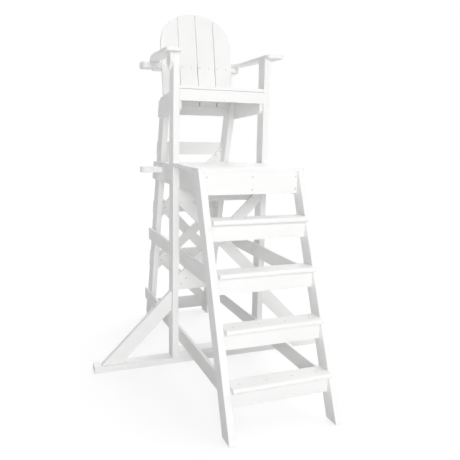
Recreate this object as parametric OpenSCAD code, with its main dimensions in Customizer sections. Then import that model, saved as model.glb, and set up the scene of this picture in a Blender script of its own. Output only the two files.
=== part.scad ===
// Tall lifeguard chair of recycled plastic lumber with a front ladder.
// X runs to the right of the front view, Y to the back, Z up.
// The origin is on the floor at the middle of the footprint.

/* [Lumber] */
// thickness of the heavy boards: posts, legs, stringers, skid
heavy_t = 38; // [32:1:44]
// thickness of the light boards: rails, deck, arms, slats, braces
light_t = 19; // [16:1:22]
// depth of the posts, skid, rails and stringers
post_w = 89; // [80:1:96]
// width of the back legs
leg_w = 112; // [100:1:120]
// width of the broad boards: platform rails, deck, apron
broad_w = 127; // [118:1:136]
// width of the diagonal braces
brace_w = 70; // [60:1:89]

/* [Tower] */
// width over the two front posts
tower_w = 622; // [600:1:660]
// height of the platform's top
platform_h = 1273; // [1240:1:1300]
// height of the seat's top at its front edge
seat_h = 1732; // [1700:1:1760]
// length of the base skid
skid_len = 1590; // [1400:10:1700]
// distance of the back legs' front edge behind the posts' front, at the floor
leg_foot_y = 866; // [840:1:900]
// forward lean of the back legs, degrees
leg_lean = 15.3; // [13:0.1:17]
// height of the lower side rails
rail_low = 153; // [140:1:170]
// height of the middle side rails
rail_mid = 658; // [640:1:680]

/* [Ladder] */
// distance of the platform's front edge before the posts' front
deck_front = 473; // [450:1:500]
// distance of the stringers' feet before the posts' front
ladder_foot = 985; // [960:1:1010]
// depth of a tread
tread_d = 114; // [100:1:120]
// thickness of a tread
tread_t = 26; // [22:1:30]
// how far a tread's nose stands before the stringer
nose = 46; // [38:1:52]

/* [Back and arms] */
// width over the back slats
back_w = 501; // [480:1:508]
// height of the arch's top above the seat's front edge
arch_rise = 524; // [490:1:550]
// gap between the back slats
slat_gap = 7; // [5:1:14]
// height of the arms' undersides above the seat's front edge
arm_rise = 186; // [170:1:200]
// length of an arm
arm_len = 605; // [580:1:630]
// width of the left arm
arm_w_left = 99; // [90:1:112]
// width of the right arm
arm_w_right = 115; // [104:1:130]
// radius of the pole hole
pole_r = 18; // [14:0.5:22]

/* [Hidden] */
$fn = 48;
// widths across the tower
half_w = tower_w / 2;
in_w = half_w - heavy_t;
leg_out = in_w - light_t;
leg_in = leg_out - heavy_t;
// slopes of the legs and stringers
lean = tan(leg_lean);
leg_dy = leg_w / cos(leg_lean);
pitch = (ladder_foot - deck_front) / platform_h;
str_dy = post_w / cos(atan(pitch));
mid_y = (leg_foot_y + leg_dy - ladder_foot) / 2;
// rounding of the rails' free corners
board_r = 8;
// base
skid_in = 8;
outrigger_in = 131;
outrigger_x = skid_len / 2 - outrigger_in;
// ladder
tread_n = 4;
tread_r = tread_t / 2 - 1;
rise = platform_h / (tread_n + 1);
riser_in = 2;
rail_lap = 20;
// platform
deck_z = platform_h - light_t;
deck_n = 5;
deck_back = 152;
deck_gap = 4;
fascia_h = 122;
rail_plat = deck_z - broad_w;
rail_over = 10;
rail_end = 4;
// seat
seat_tilt = tan(6.3);
seat_n = 4;
seat_gap = 6;
apron_h = 88;
seat_rail_end = 110;
seat_rail_in = 28;
seat_under = seat_h - light_t;
slat_foot_z = seat_h - 97;
leg_top = slat_foot_z;
leg_tip = (seat_under - seat_tilt * leg_foot_y) / (1 - seat_tilt * lean);
apron_rear_z = slat_foot_z - 61;
slat_in = 29;
// back
slat_n = 4;
slat_lean = 0.214;
slat_w = (back_w - (slat_n - 1) * slat_gap) / slat_n;
arch_a = back_w / 2;
arch_b = 205;
arch_z = seat_h + arch_rise - arch_b;
arc_steps = 10;
// arms
arm_z = seat_h + arm_rise;
arm_front = 40;
arm_in_left = 267;
arm_in_right = 273;
// an arm's outer edge: shares of its length behind the posts, and how far it is drawn in there
arm_edge_left = [[0.42, 0], [0.63, 6], [0.82, 28], [1, 46]];
arm_edge_right = [[0.28, 0], [0.5, 34], [0.8, 54], [1, 55]];
// an arm's inner edge: the waist before its rear end and the heel beside the slats
waist_left = 8;
waist_right = 14;
waist_back = 115;
arm_heel = 258;
heel_back = 24;
// roundings of an arm: front corners, edges, waist, heel, rear corners
arm_r = [24, 200, 150, 40, 12];
block_h = 58;
block_tip = 102;
support_left = 376;
support_right = 322;
support_r = 36;
cleat_in = 12;
cleat_z = arm_z - heavy_t;
cleat_h = 16;
cleat_out = 50;
cleat_x = back_w / 2 + cleat_out;
pole_x = 336;
pole_in = 57;
// bracket on the left platform rail
bracket_out = 140;
bracket_y = 399;
bracket_drop = 46;
// boards and braces between the posts
front_low_z = 482;
front_up_z = rail_plat - post_w;
// rear boards' heights above the floor and widths, lowest first,
// and how far the braces' middles stand off the middles of the bays
rear_z = [24, 440, 866, platform_h + 29];
rear_h = [leg_w, broad_w, post_w, post_w];
rising_shift = [-57, -43];
falling_shift = [42, 18, -11];
brace_dz = brace_w / sqrt(2);

WHITE = [0.96, 0.965, 0.965];

// front and back faces of a leg and a stringer, and a slat's front, at height z
function leg_front(z) = leg_foot_y - lean * z;
function leg_back(z) = leg_front(z) + leg_dy;
function str_front(z) = -ladder_foot + pitch * z;
function str_back(z) = str_front(z) + str_dy;
function slat_front(z) = leg_front(slat_foot_z) + slat_in + slat_lean * (z - slat_foot_z);
function seat_top(y) = seat_h - seat_tilt * y;
// back of the slats at the height of the arms
slat_rear = slat_front(arm_z) + light_t;
// depth of the seat, from the posts' front to the slats
seat_depth = slat_front(seat_under) / (1 + slat_lean * seat_tilt);
// height of the middle between rear boards i and i + 1
function bay_mid(i) = (rear_z[i] + rear_h[i] + rear_z[i + 1]) / 2;

// an outline with its corners rounded to the radii in r
function unit(v) = v / norm(v);
function corner(p0, p1, p2, r, n = 6) =
    let (a = unit(p0 - p1), b = unit(p2 - p1), th = acos(a * b),
         c = p1 + unit(a + b) * r / sin(th / 2),
         s = p1 + a * r / tan(th / 2) - c,
         e = p1 + b * r / tan(th / 2) - c,
         s0 = atan2(s[1], s[0]), d0 = atan2(e[1], e[0]) - s0,
         d = d0 > 180 ? d0 - 360 : d0 < -180 ? d0 + 360 : d0)
    [for (i = [0:n]) c + r * [cos(s0 + d * i / n), sin(s0 + d * i / n)]];
function rounded(p, r) = [for (i = [0:len(p) - 1]) each r[i] <= 0 ? [p[i]]
    : corner(p[(i + len(p) - 1) % len(p)], p[i], p[(i + 1) % len(p)], r[i])];

// puts a piece drawn from the posts' front face into the part's frame
module placed() { color(WHITE) translate([0, -mid_y, 0]) children(); }
// the mirror image of a left-hand piece
module other_side() { mirror([1, 0, 0]) children(); }
// a board cut to an outline in Y and Z, from x0 towards +X
module side_board(x0, t, p) { translate([x0, 0, 0]) rotate([90, 0, 90]) linear_extrude(t) polygon(p); }
// a board cut to an outline in X and Z, from y0 towards +Y
module face_board(y0, t, p) { translate([0, y0 + t, 0]) rotate([90, 0, 0]) linear_extrude(t) polygon(p); }
// a flat board cut to an outline in X and Y
module flat_board(z0, t, p) { translate([0, 0, z0]) linear_extrude(t) polygon(p); }
module box(a, b) { translate(a) cube(b - a); }
// moves a piece drawn at y = 0 back with height: y + s * (z - z0)
module leaning(s, z0) { multmatrix([[1, 0, 0, 0], [0, 1, s, -s * z0], [0, 0, 1, 0]]) children(); }

module front_post() { box([-half_w, 0, heavy_t], [-in_w, post_w, arm_z]); }
module back_leg() {
    side_board(-leg_out, heavy_t, [[leg_front(0), 0], [leg_back(0), 0],
        [leg_back(leg_top), leg_top], [slat_front(leg_top), leg_top],
        [seat_depth, seat_top(seat_depth) - light_t], [leg_front(leg_tip), leg_tip]]);
}
module outrigger() {
    foot = heavy_t;
    d = post_w * sqrt(2);
    face_board((post_w - heavy_t) / 2, heavy_t, [[foot - outrigger_x - d, foot], [foot - outrigger_x, foot],
        [-half_w, outrigger_x - half_w], [-half_w, outrigger_x + d - half_w]]);
}
module low_rail(z0) {
    z1 = z0 + post_w;
    y1 = leg_back(z0) + rail_end;
    side_board(-in_w, light_t, rounded([[str_back(z0) - rail_lap, z0], [y1, z0],
        [y1, z1], [str_back(z1) - rail_lap, z1]], [0, board_r, board_r, 0]));
}
module platform_rail() {
    side_board(-in_w, light_t, rounded([[light_t - deck_front, rail_plat],
        [leg_back(rail_plat) + rail_over, rail_plat],
        [leg_back(deck_z) + rail_over, deck_z], [light_t - deck_front, deck_z]], [0, board_r, board_r, 0]));
}
module seat_rail() {
    t0 = seat_top(light_t) - light_t;
    t1 = seat_top(seat_depth) - light_t;
    z1 = t1 - seat_rail_end;
    side_board(-in_w, light_t, rounded([[light_t, t0 - broad_w], [leg_back(z1) - seat_rail_in, z1],
        [leg_back(t1) - seat_rail_in, t1], [light_t, t0]], [30, board_r, board_r, 0]));
}
// a diagonal at 45 degrees between x = -a and x = a, its middle at height zc,
// cut level at z0 and z1; turn = 1 rises to +X, -1 falls to +X
module diagonal(a, zc, z0, z1, turn) {
    mirror([turn < 0 ? 1 : 0, 0, 0]) face_board(0, light_t, [
        [-a, max(z0, zc - a - brace_dz)], [max(-a, z0 - zc + brace_dz), max(z0, zc - a - brace_dz)],
        [a, zc + a - brace_dz], [a, min(z1, zc + a + brace_dz)],
        [min(a, z1 - zc - brace_dz), min(z1, zc + a + brace_dz)], [-a, zc - a + brace_dz]]);
}
// a brace between the back legs, n boards' thicknesses before their back faces
module rear_brace(zc, turn, n) {
    leaning(-lean, 0) translate([0, leg_foot_y + leg_dy - n * light_t, 0])
        diagonal(leg_in, zc, 0, leg_top, turn);
}
module front_brace(y0, turn) {
    zc = (front_low_z + rail_plat) / 2;
    translate([0, y0, 0]) diagonal(in_w, zc, front_low_z, rail_plat, turn);
}
module rear_board(i) {
    z0 = rear_z[i];
    z1 = z0 + rear_h[i];
    side_board(-leg_out, 2 * leg_out, [[leg_back(z0), z0], [leg_back(z0) + light_t, z0],
        [leg_back(z1) + light_t, z1], [leg_back(z1), z1]]);
}
module seat_board(i) {
    w = (seat_depth - (seat_n - 1) * seat_gap) / seat_n;
    a = i * (w + seat_gap);
    b = a + w;
    side_board(-in_w, 2 * in_w, [[a, seat_top(a) - light_t], [b, seat_top(b) - light_t],
        [b, seat_top(b)], [a, seat_top(a)]]);
}
module back_slat(i) {
    x0 = i * (slat_w + slat_gap) - back_w / 2;
    leaning(slat_lean, slat_foot_z) face_board(slat_front(slat_foot_z), light_t,
        concat([[x0 + slat_w, slat_foot_z], [x0, slat_foot_z]],
        [for (k = [0:arc_steps]) let (x = x0 + slat_w * k / arc_steps)
            [x, arch_z + arch_b * sqrt(max(0, 1 - pow(x / arch_a, 2)))]]));
}
// an arm from x = -inner outwards, narrowed to a waist before its heel
module arm(inner, w, waist, edge) {
    x0 = -inner - w;
    y1 = arm_len - arm_front;
    n = len(edge);
    flat_board(arm_z, light_t, rounded(concat([[x0, -arm_front], [-inner, -arm_front],
        [-inner - waist, y1 - waist_back], [-arm_heel, y1 - heel_back], [-arm_heel, y1]],
        [for (i = [n - 1:-1:0]) [x0 + edge[i][1], y1 * edge[i][0]]]),
        concat([arm_r[0], arm_r[0], arm_r[2], arm_r[3], arm_r[4], arm_r[4]], [for (i = [2:n]) arm_r[1]])));
}
module deck_board(i) {
    y0 = i * (broad_w + deck_gap) - deck_front;
    y1 = i < deck_n - 1 ? y0 + broad_w : deck_back;
    translate([0, 0, deck_z]) linear_extrude(light_t) intersection() {
        translate([-half_w, y0]) square([tower_w, y1 - y0]);
        union() {
            translate([-half_w, -deck_front]) square([tower_w, deck_front]);
            translate([-in_w, -deck_front]) square([2 * in_w, deck_front + deck_back]);
        }
    }
}
module stringer() {
    side_board(-half_w, heavy_t, [[str_front(0), 0], [str_back(0), 0],
        [str_back(deck_z), deck_z], [str_front(deck_z), deck_z]]);
}
module tread(i) {
    z = i * rise;
    y0 = str_front(z) - nose;
    side_board(-in_w, 2 * in_w, rounded([[y0, z - tread_t], [y0 + tread_d, z - tread_t],
        [y0 + tread_d, z], [y0, z]], [tread_r, 0, 0, tread_r]));
}
module riser(i) {
    z = i * rise - tread_t;
    y0 = str_front(i * rise) - riser_in;
    box([-in_w, y0, z - post_w], [in_w, y0 + light_t, z]);
}
module support_board() {
    y0 = slat_front(cleat_z) + light_t;
    y1 = slat_rear + broad_w;
    difference() {
        intersection() {
            flat_board(cleat_z, heavy_t, rounded([[-support_left, y0], [support_right, y0],
                [support_right, y1], [-support_left, y1]], [support_r, support_r, support_r, support_r]));
            side_board(-support_left, support_left + support_right, [[y0, cleat_z], [y1, cleat_z],
                [y1, arm_z], [slat_rear, arm_z]]);
        }
        translate([-pole_x, slat_rear + pole_in, cleat_z - 1]) cylinder(r = pole_r, h = heavy_t + 2);
    }
}
module bracket_board() {
    z0 = deck_z - bracket_drop - light_t;
    flat_board(z0, heavy_t, rounded([[-in_w - bracket_out, bracket_y], [-in_w, bracket_y],
        [-in_w, bracket_y + post_w], [-in_w - bracket_out, bracket_y + post_w]], [36, 0, 0, 36]));
}

// base
module base_skid() {
    placed() box([-skid_len / 2, skid_in, 0], [skid_len / 2, skid_in + post_w, heavy_t]);
}
module base_spacer() { placed() box([-in_w, 0, heavy_t], [in_w, post_w, 2 * heavy_t]); }
module outrigger_left() { placed() outrigger(); }
module outrigger_right() { placed() other_side() outrigger(); }

// tower
module front_post_left() { placed() front_post(); }
module front_post_right() { placed() other_side() front_post(); }
module back_leg_left() { placed() back_leg(); }
module back_leg_right() { placed() other_side() back_leg(); }
module lower_rail_left() { placed() low_rail(rail_low); }
module lower_rail_right() { placed() other_side() low_rail(rail_low); }
module middle_rail_left() { placed() low_rail(rail_mid); }
module middle_rail_right() { placed() other_side() low_rail(rail_mid); }

// boards and braces between the posts
module front_board_lower() {
    placed() box([-in_w, light_t, front_low_z], [in_w, 2 * light_t, front_low_z + post_w]);
}
module front_board_upper() {
    placed() box([-in_w, light_t, front_up_z], [in_w, 2 * light_t, rail_plat]);
}
module front_brace_rising() { placed() front_brace(0, 1); }
module front_brace_falling() { placed() front_brace(2 * light_t, -1); }

// boards and braces between the back legs
module rear_board_low() { placed() rear_board(0); }
module rear_board_broad() { placed() rear_board(1); }
module rear_board_middle() { placed() rear_board(2); }
module rear_board_upper() { placed() rear_board(3); }
module rear_braces_rising() {
    placed() for (i = [0:1]) rear_brace(bay_mid(i + 1) + rising_shift[i], 1, 2);
}
module rear_braces_falling() {
    placed() for (i = [0:2]) rear_brace(bay_mid(i) + falling_shift[i], -1, 1);
}

// platform
module platform_rail_left() { placed() platform_rail(); }
module platform_rail_right() { placed() other_side() platform_rail(); }
module platform_fascia() {
    placed() box([-in_w, -deck_front, deck_z - fascia_h], [in_w, light_t - deck_front, deck_z]);
}
module platform_joist() {
    placed() box([-light_t / 2, light_t - deck_front, deck_z - fascia_h], [light_t / 2, 0, deck_z]);
}
module platform_rear_board() {
    placed() box([-leg_out, 0, deck_z - fascia_h], [leg_out, light_t, deck_z]);
}
module deck_boards() { placed() for (i = [0:deck_n - 1]) deck_board(i); }

// ladder
module stringer_left() { placed() stringer(); }
module stringer_right() { placed() other_side() stringer(); }
module treads() { placed() for (i = [1:tread_n]) tread(i); }
module risers() { placed() for (i = [1:tread_n]) riser(i); }

// seat and back
module seat_rail_left() { placed() seat_rail(); }
module seat_rail_right() { placed() other_side() seat_rail(); }
module seat_apron_front() {
    placed() box([-in_w, 0, seat_h - apron_h], [in_w, light_t, seat_top(light_t) - light_t]);
}
module seat_apron_rear() {
    placed() leaning(slat_lean, slat_foot_z)
        face_board(slat_front(slat_foot_z) + light_t, light_t, [[-leg_in, apron_rear_z], [leg_in, apron_rear_z],
            [leg_in, apron_rear_z + broad_w], [-leg_in, apron_rear_z + broad_w]]);
}
module seat_boards() { placed() for (i = [0:seat_n - 1]) seat_board(i); }
module back_slats() { placed() for (i = [0:slat_n - 1]) back_slat(i); }

// arms
module arm_left() { placed() arm(arm_in_left, arm_w_left, waist_left, arm_edge_left); }
module arm_right() {
    placed() other_side() arm(arm_in_right, arm_w_right, waist_right, arm_edge_right);
}
module arm_block() {
    placed() side_board(-half_w - light_t, light_t, [[0, arm_z], [0, arm_z - block_h],
        [post_w / 2, arm_z - block_tip], [post_w, arm_z - block_h], [post_w, arm_z]]);
}
module arm_rear_support() { placed() support_board(); }
module arm_rear_cleat() {
    placed() box([-cleat_x, slat_rear + cleat_in, cleat_z - cleat_h],
            [cleat_x, slat_rear + cleat_in + heavy_t, cleat_z]);
}
module side_bracket() { placed() bracket_board(); }

base_skid();
base_spacer();
outrigger_left();
outrigger_right();
front_post_left();
front_post_right();
back_leg_left();
back_leg_right();
lower_rail_left();
lower_rail_right();
middle_rail_left();
middle_rail_right();
front_board_lower();
front_board_upper();
front_brace_rising();
front_brace_falling();
rear_board_low();
rear_board_broad();
rear_board_middle();
rear_board_upper();
rear_braces_rising();
rear_braces_falling();
platform_rail_left();
platform_rail_right();
platform_fascia();
platform_joist();
platform_rear_board();
deck_boards();
stringer_left();
stringer_right();
treads();
risers();
seat_rail_left();
seat_rail_right();
seat_apron_front();
seat_apron_rear();
seat_boards();
back_slats();
arm_left();
arm_right();
arm_block();
arm_rear_support();
arm_rear_cleat();
side_bracket();
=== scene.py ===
"""Looks of the lifeguard chair: eased lumber edges, moulded white plastic, and steel screws."""

import math

import bmesh
import bpy
from mathutils import Matrix, Vector


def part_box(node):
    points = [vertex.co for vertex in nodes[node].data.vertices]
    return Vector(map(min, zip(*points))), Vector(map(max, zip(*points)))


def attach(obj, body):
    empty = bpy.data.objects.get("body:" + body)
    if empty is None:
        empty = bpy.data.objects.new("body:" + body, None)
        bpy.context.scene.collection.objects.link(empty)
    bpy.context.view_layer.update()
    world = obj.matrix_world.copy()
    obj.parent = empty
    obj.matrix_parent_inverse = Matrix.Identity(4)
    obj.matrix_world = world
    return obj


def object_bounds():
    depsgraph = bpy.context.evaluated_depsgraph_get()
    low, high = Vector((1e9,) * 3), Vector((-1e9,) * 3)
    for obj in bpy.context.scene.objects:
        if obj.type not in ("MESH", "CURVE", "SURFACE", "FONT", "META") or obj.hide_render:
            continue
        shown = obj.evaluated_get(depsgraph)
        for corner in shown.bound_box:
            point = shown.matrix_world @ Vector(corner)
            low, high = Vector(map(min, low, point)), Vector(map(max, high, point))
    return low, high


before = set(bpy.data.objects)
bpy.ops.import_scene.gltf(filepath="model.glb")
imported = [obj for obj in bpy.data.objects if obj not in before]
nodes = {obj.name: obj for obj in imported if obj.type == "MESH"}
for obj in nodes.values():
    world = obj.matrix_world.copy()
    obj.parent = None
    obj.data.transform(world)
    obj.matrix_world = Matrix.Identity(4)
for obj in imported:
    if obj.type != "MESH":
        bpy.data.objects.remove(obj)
cad_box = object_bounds()
collection = bpy.context.scene.collection

# ---------------------------------------------------------------- sizes, metres
SAME_POINT = 1e-5     # vertices closer than this are one
HEAVY_EASE = 0.0025   # rounding of the thick boards' edges and the slats'
LIGHT_EASE = 0.0015   # rounding of the thin boards' edges
CLOSE_EASE = 0.0004   # rounding of the front apron's edges, flush with the seat board
EASE_STEPS = 3
SHARP = math.radians(35)    # edges sharper than this are rounded
FLAT = math.radians(0.5)    # facets closer than this become one face
SCREW_R = 0.0045
SCREW_UP = 0.0007     # how far a head stands proud of the board
SCREW_SIDES = 20
SCREW_SPIN = 1.7      # turn of each head's recess from the last one's, radians
RAIL_THICK = 0.019
SIDE_SCREW = 0.018    # a side screw's distance from the post's rear edge
EDGE_SCREW = 0.025    # a deck or seat screw's distance from its board's edge

# ---------------------------------------------------------------- directions
FRONT, BACK, UP, LEFT, RIGHT = (0, -1, 0), (0, 1, 0), (0, 0, 1), (-1, 0, 0), (1, 0, 0)
RISING, FALLING = (1, 0, 1), (-1, 0, 1)
LEG_LEAN = Vector((0, -math.tan(math.radians(15.3)), 1))
STRINGER_LEAN = Vector((0, 0.402, 1))
SLAT_LEAN = Vector((0, 0.214, 1))
SEAT_DROP = 0.11      # fall of the seat for each metre back, rounded for directions
SEAT_FALL = Vector((0, 1, -SEAT_DROP))


# ---------------------------------------------------------------- materials
def new_material(name):
    """A new material, with its node tree and its Principled shader."""
    mat = bpy.data.materials.new(name)
    mat.use_nodes = True
    return mat, mat.node_tree, mat.node_tree.nodes["Principled BSDF"]


def node_of(tree, kind, **inputs):
    """A new shader node with its unlinked inputs set."""
    n = tree.nodes.new(kind)
    for name, value in inputs.items():
        n.inputs[name.replace("_", " ")].default_value = value
    return n


def grey(level):
    """A neutral colour."""
    return (level, level, level, 1)


def ramp(tree, factor, low, high, first, last):
    """A two-stop ramp of factor, from first at low to last at high."""
    n = tree.nodes.new("ShaderNodeValToRGB")
    n.color_ramp.elements[0].position, n.color_ramp.elements[1].position = low, high
    n.color_ramp.elements[0].color, n.color_ramp.elements[1].color = first, last
    tree.links.new(factor, n.inputs["Fac"])
    return n.outputs["Color"]


def mixed(tree, factor, a, b):
    """The sockets or colours a and b mixed by factor."""
    n = tree.nodes.new("ShaderNodeMix")
    n.data_type, n.blend_type = "RGBA", "MIX"
    for socket, value in ((n.inputs[0], factor), (n.inputs[6], a), (n.inputs[7], b)):
        if isinstance(value, bpy.types.NodeSocket):
            tree.links.new(value, socket)
        else:
            socket.default_value = value
    return n.outputs[2]


def lumber(name, along):
    """White plastic lumber whose extrusion lines run along a direction in the part's frame."""
    mat, tree, shader = new_material(name)
    link = tree.links.new
    place = tree.nodes.new("ShaderNodeTexCoord")
    turn = Vector(along).normalized().to_track_quat("X", "Z").inverted().to_euler()
    line = node_of(tree, "ShaderNodeMapping", Rotation=turn)
    link(place.outputs["Object"], line.inputs["Vector"])

    def grain(stretch, scale, detail):
        """Noise drawn out along the board; the smaller the stretch, the longer its streaks."""
        squeeze = node_of(tree, "ShaderNodeMapping", Scale=(stretch, 1, 1))
        link(line.outputs["Vector"], squeeze.inputs["Vector"])
        n = node_of(tree, "ShaderNodeTexNoise", Scale=scale, Detail=detail, Roughness=0.6)
        link(squeeze.outputs["Vector"], n.inputs["Vector"])
        return n.outputs["Fac"]

    streaks = grain(0.03, 220.0, 4.0)
    flow = grain(0.12, 26.0, 3.0)
    cloud = grain(0.4, 5.0, 4.0)
    pebble = grain(0.7, 900.0, 2.0)

    tone = ramp(tree, cloud, 0.3, 0.7, (0.893, 0.894, 0.888, 1), (0.915, 0.916, 0.910, 1))
    tone = mixed(tree, ramp(tree, flow, 0.42, 0.75, grey(0), grey(0.30)),
                 tone, (0.875, 0.877, 0.870, 1))
    tone = mixed(tree, ramp(tree, streaks, 0.60, 0.80, grey(0), grey(0.20)),
                 tone, (0.835, 0.836, 0.828, 1))
    link(tone, shader.inputs["Base Color"])
    link(ramp(tree, flow, 0.25, 0.75, grey(0.50), grey(0.64)), shader.inputs["Roughness"])
    shader.inputs["Specular IOR Level"].default_value = 0.3

    normal = None
    for height, strength, distance in ((streaks, 0.22, 0.0006), (pebble, 0.16, 0.0003), (flow, 0.10, 0.002)):
        bump = node_of(tree, "ShaderNodeBump", Strength=strength, Distance=distance)
        link(height, bump.inputs["Height"])
        if normal:
            link(normal, bump.inputs["Normal"])
        normal = bump.outputs["Normal"]
    link(normal, shader.inputs["Normal"])
    return mat


def speckle(tree, scale, detail):
    """Fine even noise over an object."""
    place = tree.nodes.new("ShaderNodeTexCoord")
    n = node_of(tree, "ShaderNodeTexNoise", Scale=scale, Detail=detail)
    tree.links.new(place.outputs["Object"], n.inputs["Vector"])
    return n.outputs["Fac"]


def steel():
    """Brushed stainless steel for the screw heads."""
    mat, tree, shader = new_material("stainless_steel")
    fine = speckle(tree, 1500.0, 3.0)
    tree.links.new(ramp(tree, fine, 0.3, 0.7, grey(0.72), grey(0.80)), shader.inputs["Base Color"])
    tree.links.new(ramp(tree, fine, 0.3, 0.7, grey(0.30), grey(0.45)), shader.inputs["Roughness"])
    shader.inputs["Metallic"].default_value = 0.85
    return mat


def shade():
    """Painted shade: the dark of a screw's recess and of the ring round its head, standing in for the shadow
    in the hole the head sits in.
    """
    mat, tree, shader = new_material("recess_shade")
    fine = speckle(tree, 900.0, 2.0)
    tree.links.new(ramp(tree, fine, 0.3, 0.7, grey(0.52), grey(0.60)), shader.inputs["Base Color"])
    shader.inputs["Roughness"].default_value = 0.6
    return mat


MAT_X = lumber("lumber_across", RIGHT)
MAT_Y = lumber("lumber_along", BACK)
MAT_Z = lumber("lumber_upright", UP)
MAT_LEG = lumber("lumber_leg", LEG_LEAN)
MAT_STRINGER = lumber("lumber_stringer", STRINGER_LEAN)
MAT_SLAT = lumber("lumber_slat", SLAT_LEAN)
MAT_SEAT_RAIL = lumber("lumber_seat_rail", SEAT_FALL)
MAT_RISE = lumber("lumber_rising", RISING)
MAT_FALL = lumber("lumber_falling", FALLING)
STEEL, SHADE = steel(), shade()

# by the start of a node's name; every other board runs across
MATERIAL_OF = {
    "front_post": MAT_Z, "back_leg": MAT_LEG, "stringer": MAT_STRINGER, "back_slats": MAT_SLAT,
    "seat_rail": MAT_SEAT_RAIL, "lower_rail": MAT_Y, "middle_rail": MAT_Y, "platform_rail": MAT_Y,
    "platform_joist": MAT_Y, "arm_left": MAT_Y, "arm_right": MAT_Y, "arm_block": MAT_Y,
    "outrigger_left": MAT_RISE, "outrigger_right": MAT_FALL, "front_brace_rising": MAT_RISE,
    "rear_braces_rising": MAT_RISE, "front_brace_falling": MAT_FALL, "rear_braces_falling": MAT_FALL,
}
HEAVY = ("front_post", "back_leg", "back_slats", "stringer", "base_", "outrigger", "arm_rear_support",
         "side_bracket")


def ease_of(name):
    """How far a board's edges are rounded."""
    if name == "seat_apron_front":
        return CLOSE_EASE
    return HEAVY_EASE if name.startswith(HEAVY) else LIGHT_EASE


def dress(name, obj):
    """Gives a board its plastic and its eased edges."""
    obj.data.materials.clear()
    obj.data.materials.append(next((MATERIAL_OF[k] for k in MATERIAL_OF if name.startswith(k)), MAT_X))
    obj.data.polygons.foreach_set("use_smooth", [True] * len(obj.data.polygons))
    if "custom_normal" in obj.data.attributes:
        obj.data.attributes.remove(obj.data.attributes["custom_normal"])
    weld = obj.modifiers.new("weld", "WELD")
    weld.merge_threshold = SAME_POINT
    flat = obj.modifiers.new("flat", "DECIMATE")
    flat.decimate_type, flat.angle_limit = "DISSOLVE", FLAT
    ease = obj.modifiers.new("ease", "BEVEL")
    ease.width, ease.segments = ease_of(name), EASE_STEPS
    ease.limit_method, ease.angle_limit = "ANGLE", SHARP
    ease.miter_outer = "MITER_ARC"
    even = obj.modifiers.new("even", "WEIGHTED_NORMAL")
    even.weight, even.keep_sharp = 90, True


for node_name, node in nodes.items():
    dress(node_name, node)


# ---------------------------------------------------------------- solids of a node
def solids(name):
    """The boxes of a node's separate solids, as (lowest, highest) corners, sorted."""
    bm = bmesh.new()
    bm.from_mesh(nodes[name].data)
    bmesh.ops.remove_doubles(bm, verts=bm.verts, dist=SAME_POINT)
    found, seen = [], set()
    for start in bm.verts:
        if start in seen:
            continue
        group, front = [], [start]
        seen.add(start)
        while front:
            v = front.pop()
            group.append(v.co.copy())
            for e in v.link_edges:
                w = e.other_vert(v)
                if w not in seen:
                    seen.add(w)
                    front.append(w)
        found.append((Vector(map(min, *group)), Vector(map(max, *group))))
    bm.free()
    return sorted(found, key=lambda b: tuple(b[0]))


# ---------------------------------------------------------------- screws
def screw_mesh():
    """A flat screw head with a recess, in a ring of painted shade, facing +Z from z = 0."""
    # each ring's radius in head radii, its height in SCREW_UP, and whether the band up to it is dark with
    # painted shade
    rings = ((1.28, 0.0, True), (1.12, 0.25, True), (1.02, 0.15, True),
             (1.0, 0.75, False), (0.9, 1.0, False), (0.42, 1.0, False))
    bm = bmesh.new()
    loops = []
    for r, h, _ in rings:
        loops.append([bm.verts.new((SCREW_R * r * math.cos(2 * math.pi * i / SCREW_SIDES),
                                    SCREW_R * r * math.sin(2 * math.pi * i / SCREW_SIDES),
                                    SCREW_UP * h)) for i in range(SCREW_SIDES)])
    for inner, outer, (_, _, dark) in zip(loops[1:], loops, rings[1:]):
        for i in range(SCREW_SIDES):
            j = (i + 1) % SCREW_SIDES
            f = bm.faces.new((outer[i], outer[j], inner[j], inner[i]))
            # the dark bands, and the recess below, take the painted shade material
            f.material_index = 1 if dark else 0
            f.smooth = True
    rim = loops[-1]
    sink = [bm.verts.new((v.co.x * 0.8, v.co.y * 0.8, SCREW_UP * 0.3)) for v in rim]
    for i in range(SCREW_SIDES):
        j = (i + 1) % SCREW_SIDES
        bm.faces.new((rim[i], rim[j], sink[j], sink[i])).material_index = 1
    bm.faces.new(sink).material_index = 1
    mesh = bpy.data.meshes.new("screw")
    bm.to_mesh(mesh)
    bm.free()
    return mesh


def add_screws(name, places):
    """One piece of screw heads at (point, outward direction) places."""
    bm = bmesh.new()
    pattern = screw_mesh()
    for k, (point, out) in enumerate(places):
        before = len(bm.verts)
        bm.from_mesh(pattern)
        bm.verts.ensure_lookup_table()
        spin = Matrix.Rotation(SCREW_SPIN * k, 4, "Z")
        turn = Vector(out).normalized().to_track_quat("Z", "Y").to_matrix().to_4x4()
        bmesh.ops.transform(bm, matrix=Matrix.Translation(point) @ turn @ spin, verts=bm.verts[before:])
    mesh = bpy.data.meshes.new(name)
    bm.to_mesh(mesh)
    bm.free()
    mesh.materials.append(STEEL)
    mesh.materials.append(SHADE)
    obj = bpy.data.objects.new(name, mesh)
    collection.objects.link(obj)
    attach(obj, "root")


def both(points, out):
    """Each point and its mirror image at the other side, with the matching direction."""
    return [p for x, y, z in points
            for p in (((x, y, z), out), ((-x, y, z), (-out[0], out[1], out[2])))]


post_lo, post_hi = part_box("front_post_left")
outer_x, inner_x = -post_lo.x, -post_hi.x
post_x = (outer_x + inner_x) / 2
rail_x = inner_x - RAIL_THICK / 2
side_y = post_hi.y - SIDE_SCREW

# treads
TREAD_SCREWS_X = (-0.22, -0.077, 0.069, 0.21)
TREAD_SCREW = 0.0535      # from the nosing
add_screws("tread_screws", [((x, lo.y + TREAD_SCREW, hi.z), UP)
                            for lo, hi in solids("treads") for x in TREAD_SCREWS_X])

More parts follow.
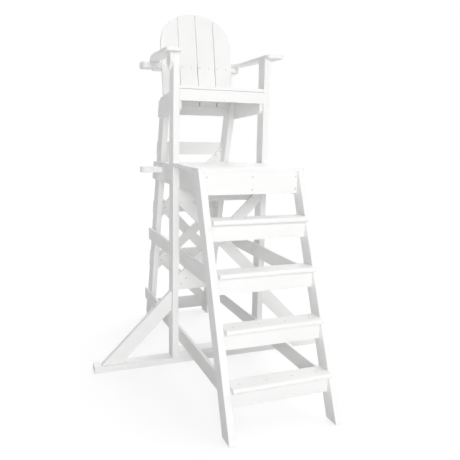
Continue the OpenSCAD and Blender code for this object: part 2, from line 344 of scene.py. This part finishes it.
# platform
fascia_lo, fascia_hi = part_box("platform_fascia")
FASCIA_SCREWS_X = (-0.2625, 0, 0.2625)
upper_row, lower_row = fascia_hi.z - 0.0275, fascia_lo.z + 0.0265
add_screws("fascia_screws", [((x, fascia_lo.y, z), FRONT)
                             for x in FASCIA_SCREWS_X for z in (upper_row, lower_row)])
add_screws("deck_screws", [((x, y, hi.z), UP) for lo, hi in solids("deck_boards")
                           for x in (-rail_x, 0, rail_x) for y in (lo.y + EDGE_SCREW, hi.y - EDGE_SCREW)])
# through the stringers' tops, which lean, and through the posts
add_screws("platform_side_screws", both([
    (-outer_x, fascia_lo.y + 0.075, upper_row + 0.007), (-outer_x, fascia_lo.y + 0.045, lower_row + 0.012),
    (-outer_x, side_y, upper_row), (-outer_x, side_y, lower_row)], LEFT))

# rails, on posts and legs
places = []
RAIL_SCREW = 0.036        # above the rail's underside
for rail in ("lower_rail_left", "middle_rail_left"):
    lo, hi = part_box(rail)
    places += both([(-outer_x, side_y, lo.z + RAIL_SCREW)], LEFT)
    places += both([(hi.x, side_y, lo.z + RAIL_SCREW)], RIGHT)
lo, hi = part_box("seat_rail_left")
places += both([(-outer_x, side_y, hi.z - 0.0285), (-outer_x, side_y, hi.z - 0.097),
                (-inner_x, hi.y - 0.0765, lo.z + 0.087)], LEFT)
add_screws("rail_screws", places)

# back slats, on the board behind the arms
slat_boxes = solids("back_slats")
slat_foot = min(lo.z for lo, hi in slat_boxes)
slat_front = min(lo.y for lo, hi in slat_boxes)
slat_screw_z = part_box("arm_rear_support")[0].z + 0.016
slat_screw_y = slat_front + SLAT_LEAN.y * (slat_screw_z - slat_foot)
add_screws("slat_screws", [((x, slat_screw_y, slat_screw_z), (0, -1, SLAT_LEAN.y))
                           for lo, hi in slat_boxes for x in (lo.x + 0.014, lo.x + 0.079)])

# arms, on the posts and on the board behind
places = []
for arm, side in (("arm_left", -1), ("arm_right", 1)):
    lo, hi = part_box(arm)
    places += [((side * post_x, y, hi.z), UP) for y in (0.022, 0.068)]
    places += [((side * x, hi.y - 0.022, hi.z), UP) for x in (0.275, 0.305)]
add_screws("arm_screws", places)

# seat boards
places = []
BOARD_DROP = 0.1104       # the seat's fall again, exact enough to lay the screws on the boards
for lo, hi in solids("seat_boards"):
    for y in (lo.y + EDGE_SCREW, hi.y - EDGE_SCREW):
        places += both([(-rail_x, y, hi.z - BOARD_DROP * (y - lo.y))], (0, SEAT_DROP, 1))
add_screws("seat_screws", places)

# ends of the front brace, on the boards between the posts
low_z, high_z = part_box("front_board_lower")[0].z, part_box("front_board_upper")[0].z
brace_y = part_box("front_brace_rising")[0].y
add_screws("front_brace_screws", [((x, brace_y, z), FRONT) for x, z in (
    (-0.2577, low_z + 0.043), (-0.2247, low_z + 0.076), (0.217, high_z + 0.017), (0.250, high_z + 0.055))])

# ends of the rear braces, whose fronts lean with the legs
places = []
for lo, hi in solids("rear_braces_rising"):
    for x, z in ((lo.x + 0.039, lo.z + 0.090), (lo.x + 0.076, lo.z + 0.124),
                 (hi.x - 0.040, hi.z - 0.054), (hi.x - 0.010, hi.z - 0.026)):
        places.append(((x, lo.y - LEG_LEAN.y * (hi.z - z), z), (0, -1, LEG_LEAN.y)))
add_screws("rear_brace_screws", places)

# ---------------------------------------------------------------- stage
FLOOR_SIZE = 60
FLOOR_BOUNCE = 0.70    # colour of the floor as it lights the object
FLOOR_SEEN = 0.35      # colour of the floor as it shows, before its glow
FLOOR_GLOW = 0.68
SKY_LIGHT = 0.02       # what the sky adds to the lamps


def for_the_eye(tree, unseen, seen, end):
    """Joins seen to end for camera, glossy and transmission rays, and unseen for all others."""
    ray = tree.nodes.new("ShaderNodeLightPath")
    looks = ray.outputs["Is Camera Ray"]
    for kind in ("Is Glossy Ray", "Is Transmission Ray"):
        larger = tree.nodes.new("ShaderNodeMath")
        larger.operation = "MAXIMUM"
        tree.links.new(looks, larger.inputs[0])
        tree.links.new(ray.outputs[kind], larger.inputs[1])
        looks = larger.outputs[0]
    pick = tree.nodes.new("ShaderNodeMixShader")
    for socket, value in zip(pick.inputs, (looks, unseen, seen)):
        tree.links.new(value, socket)
    tree.links.new(pick.outputs[0], end)


def floor_material():
    """Pale to the object, and brighter to the eye, keeping what shadow falls on it."""
    mat, tree, shader = new_material("floor_pale")
    tree.nodes.remove(shader)
    plain = node_of(tree, "ShaderNodeBsdfDiffuse", Color=grey(FLOOR_BOUNCE))
    seen = node_of(tree, "ShaderNodeBsdfDiffuse", Color=grey(FLOOR_SEEN))
    glow = node_of(tree, "ShaderNodeEmission", Color=grey(1), Strength=FLOOR_GLOW)
    shown = tree.nodes.new("ShaderNodeAddShader")
    tree.links.new(seen.outputs[0], shown.inputs[0])
    tree.links.new(glow.outputs[0], shown.inputs[1])
    end = tree.nodes["Material Output"].inputs["Surface"]
    for_the_eye(tree, plain.outputs[0], shown.outputs[0], end)
    return mat


bpy.ops.mesh.primitive_plane_add(size=FLOOR_SIZE, location=(0, 0, 0))
floor = bpy.context.object
floor.name = "floor"
floor.data.materials.append(floor_material())

world = bpy.context.scene.world or bpy.data.worlds.new("world")
bpy.context.scene.world = world
world.use_nodes = True
tree = world.node_tree
sky = tree.nodes["Background"]
sky.inputs["Color"].default_value = grey(1)
sky.inputs["Strength"].default_value = SKY_LIGHT
seen_sky = node_of(tree, "ShaderNodeBackground", Color=grey(1), Strength=1.0)
for_the_eye(tree, sky.outputs[0], seen_sky.outputs[0], tree.nodes["World Output"].inputs["Surface"])

# ---------------------------------------------------------------- lamps
# name, turn from the front to the right, rise above level, strength and softness; angles in degrees
SUNS = (("front", -12, 20, 1.02, 25), ("front_low", 10, 0, 0.20, 25), ("left_low", -60, 0, 0.17, 25),
        ("right", 60, 50, 0.85, 50), ("behind_right", 130, 40, 1.30, 60),
        ("behind", 180, 45, 0.65, 60), ("behind_low", 180, 15, 0.80, 50), ("above", 0, 90, 0.48, 60))
# name, turn, height and watts
SOFTBOXES = (("softbox", -25, 2.0, 44.0), ("softbox_high", 0, 3.0, 20.0))
SOFTBOX_AWAY, SOFTBOX_WIDE, SOFTBOX_TALL = 5, 2.5, 1.4


def toward(turn, rise):
    """The direction at a turn in degrees from the front to the right, and a rise above level."""
    az, el = math.radians(turn), math.radians(rise)
    return Vector((math.sin(az) * math.cos(el), -math.cos(az) * math.cos(el), math.sin(el)))


def lamp(name, kind, energy, direction):
    """A lamp that shines from a direction towards the part."""
    data = bpy.data.lights.new(name, kind)
    data.energy = energy
    obj = bpy.data.objects.new(name, data)
    obj.rotation_mode = "QUATERNION"
    obj.rotation_quaternion = direction.to_track_quat("Z", "Y")
    collection.objects.link(obj)
    return obj


for name, turn, rise, strength, softness in SUNS:
    lamp(name, "SUN", strength, toward(turn, rise)).data.angle = math.radians(softness)

middle = Vector((0, 0, cad_box[1][2] / 2))
for name, turn, height, watts in SOFTBOXES:
    place = SOFTBOX_AWAY * toward(turn, 0) + Vector((0, 0, height))
    softbox = lamp(name, "AREA", watts, place - middle)
    softbox.location = place
    softbox.data.shape = "RECTANGLE"
    softbox.data.size, softbox.data.size_y = SOFTBOX_WIDE, SOFTBOX_TALL

# ---------------------------------------------------------------- camera
CAMERA_AT = Vector((-1.1864, -3.1126, 1.4526))
CAMERA_TURN, CAMERA_DOWN, CAMERA_ROLL = (math.radians(a) for a in (21.50, 9.56, 1.16))
LENS, SENSOR = 41.905, 36.0     # millimetres
SHIFT_X, SHIFT_Y = 0.0074, -0.0127
ahead = Vector((math.sin(CAMERA_TURN) * math.cos(CAMERA_DOWN),
                math.cos(CAMERA_TURN) * math.cos(CAMERA_DOWN), -math.sin(CAMERA_DOWN)))
level = Vector((math.cos(CAMERA_TURN), -math.sin(CAMERA_TURN), 0))
above = level.cross(ahead)
side = math.cos(CAMERA_ROLL) * level + math.sin(CAMERA_ROLL) * above
top = -math.sin(CAMERA_ROLL) * level + math.cos(CAMERA_ROLL) * above
cam_data = bpy.data.cameras.new("camera")
cam_data.lens, cam_data.sensor_width = LENS, SENSOR
cam_data.shift_x, cam_data.shift_y = SHIFT_X, SHIFT_Y
cam = bpy.data.objects.new("camera", cam_data)
cam.matrix_world = Matrix.Translation(CAMERA_AT) @ Matrix((side, top, -ahead)).transposed().to_4x4()
collection.objects.link(cam)
bpy.context.scene.camera = cam
bpy.context.scene.view_settings.view_transform = "Standard"
